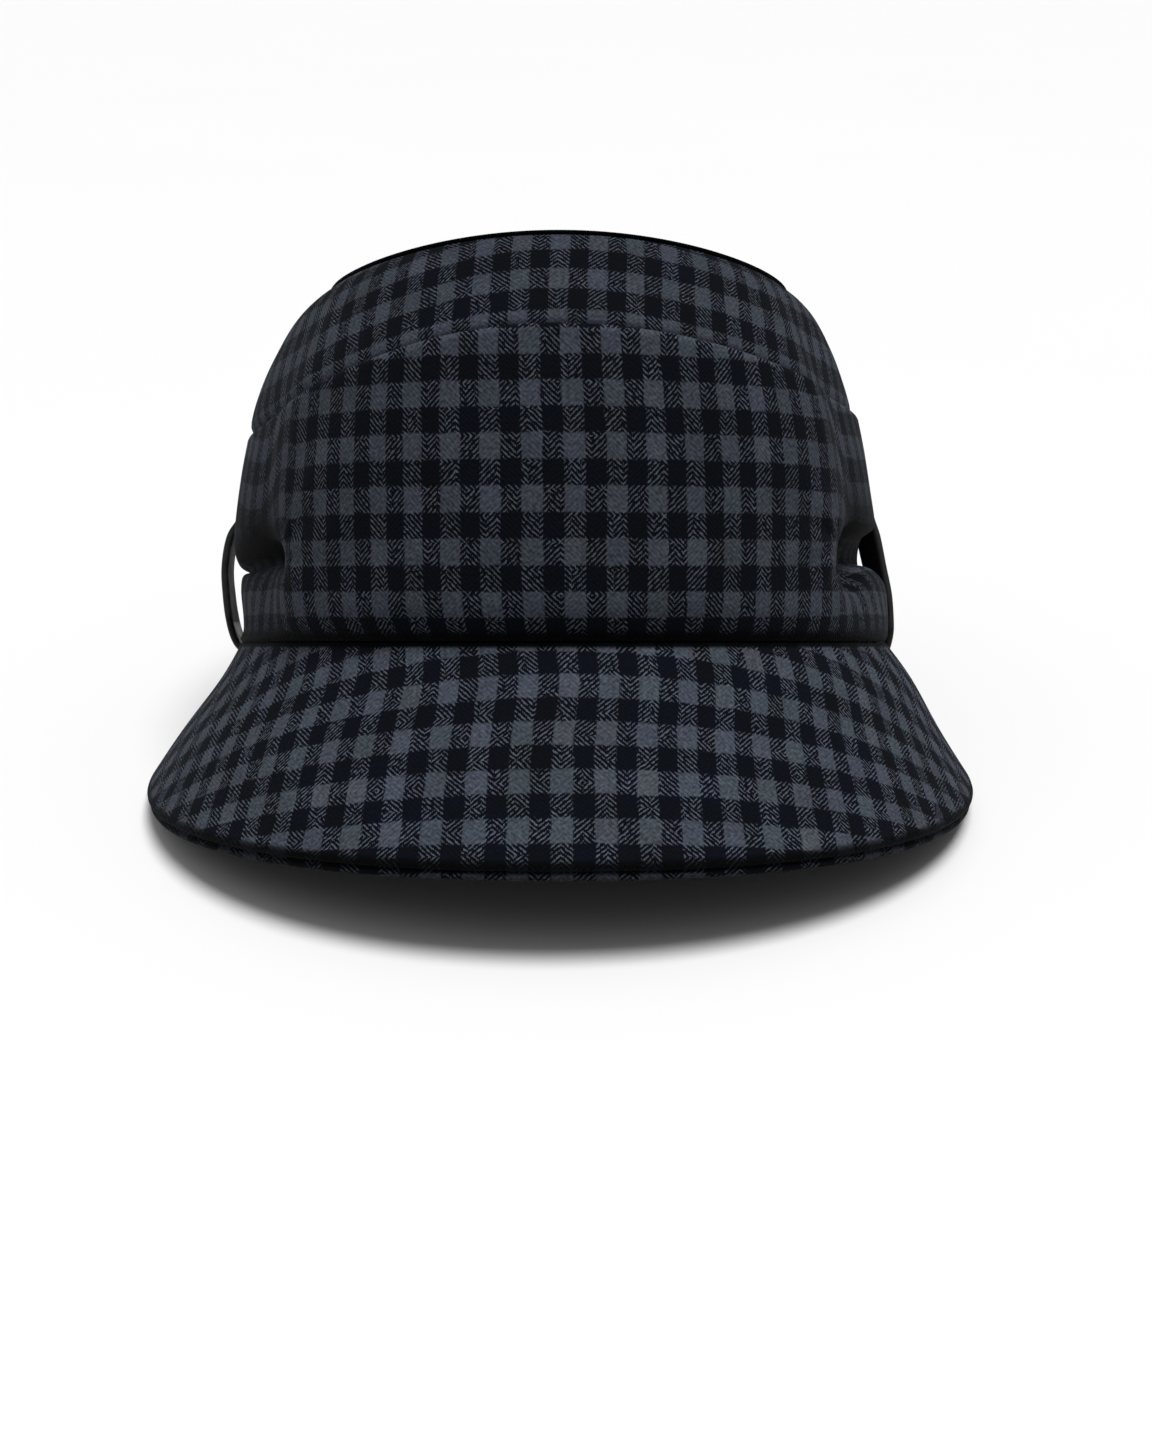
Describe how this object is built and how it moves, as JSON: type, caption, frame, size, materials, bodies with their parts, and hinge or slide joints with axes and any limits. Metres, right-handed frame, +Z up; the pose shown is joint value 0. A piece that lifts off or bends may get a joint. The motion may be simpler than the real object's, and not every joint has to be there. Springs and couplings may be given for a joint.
{
  "type": "cap",
  "caption": "Soft checked wool cap with a draped crown, a turned-down peak and a dark leather strap over a pinch at each side.",
  "frame": {"origin": "middle of the cap's footprint, on the surface that it rests on", "axes": "+X to the wearer's left, which is the picture's right, +Y from the peak to the back, +Z up"},
  "size_m": [0.2172, 0.262, 0.1498],
  "materials": {
    "crown_wrap": "brushed wool twill in a black, navy and slate gingham check",
    "crown_side": "brushed wool twill in a black, navy and slate gingham check",
    "crown_tip": "brushed wool twill in a black, navy and slate gingham check",
    "peak": "brushed wool twill in a black, navy and slate gingham check",
    "peak_under": "brushed wool twill in a black, navy and slate gingham check",
    "strap_left": "smooth black leather with a satin shine",
    "strap_right": "smooth black leather with a satin shine"
  },
  "bodies": {
    "root": {"crown_wrap": "crown_wrap", "crown_side": "crown_side", "crown_tip": "crown_tip", "peak": "peak", "peak_under": "peak_under", "strap_left": "strap_left", "strap_right": "strap_right"}
  },
  "joints": []
}
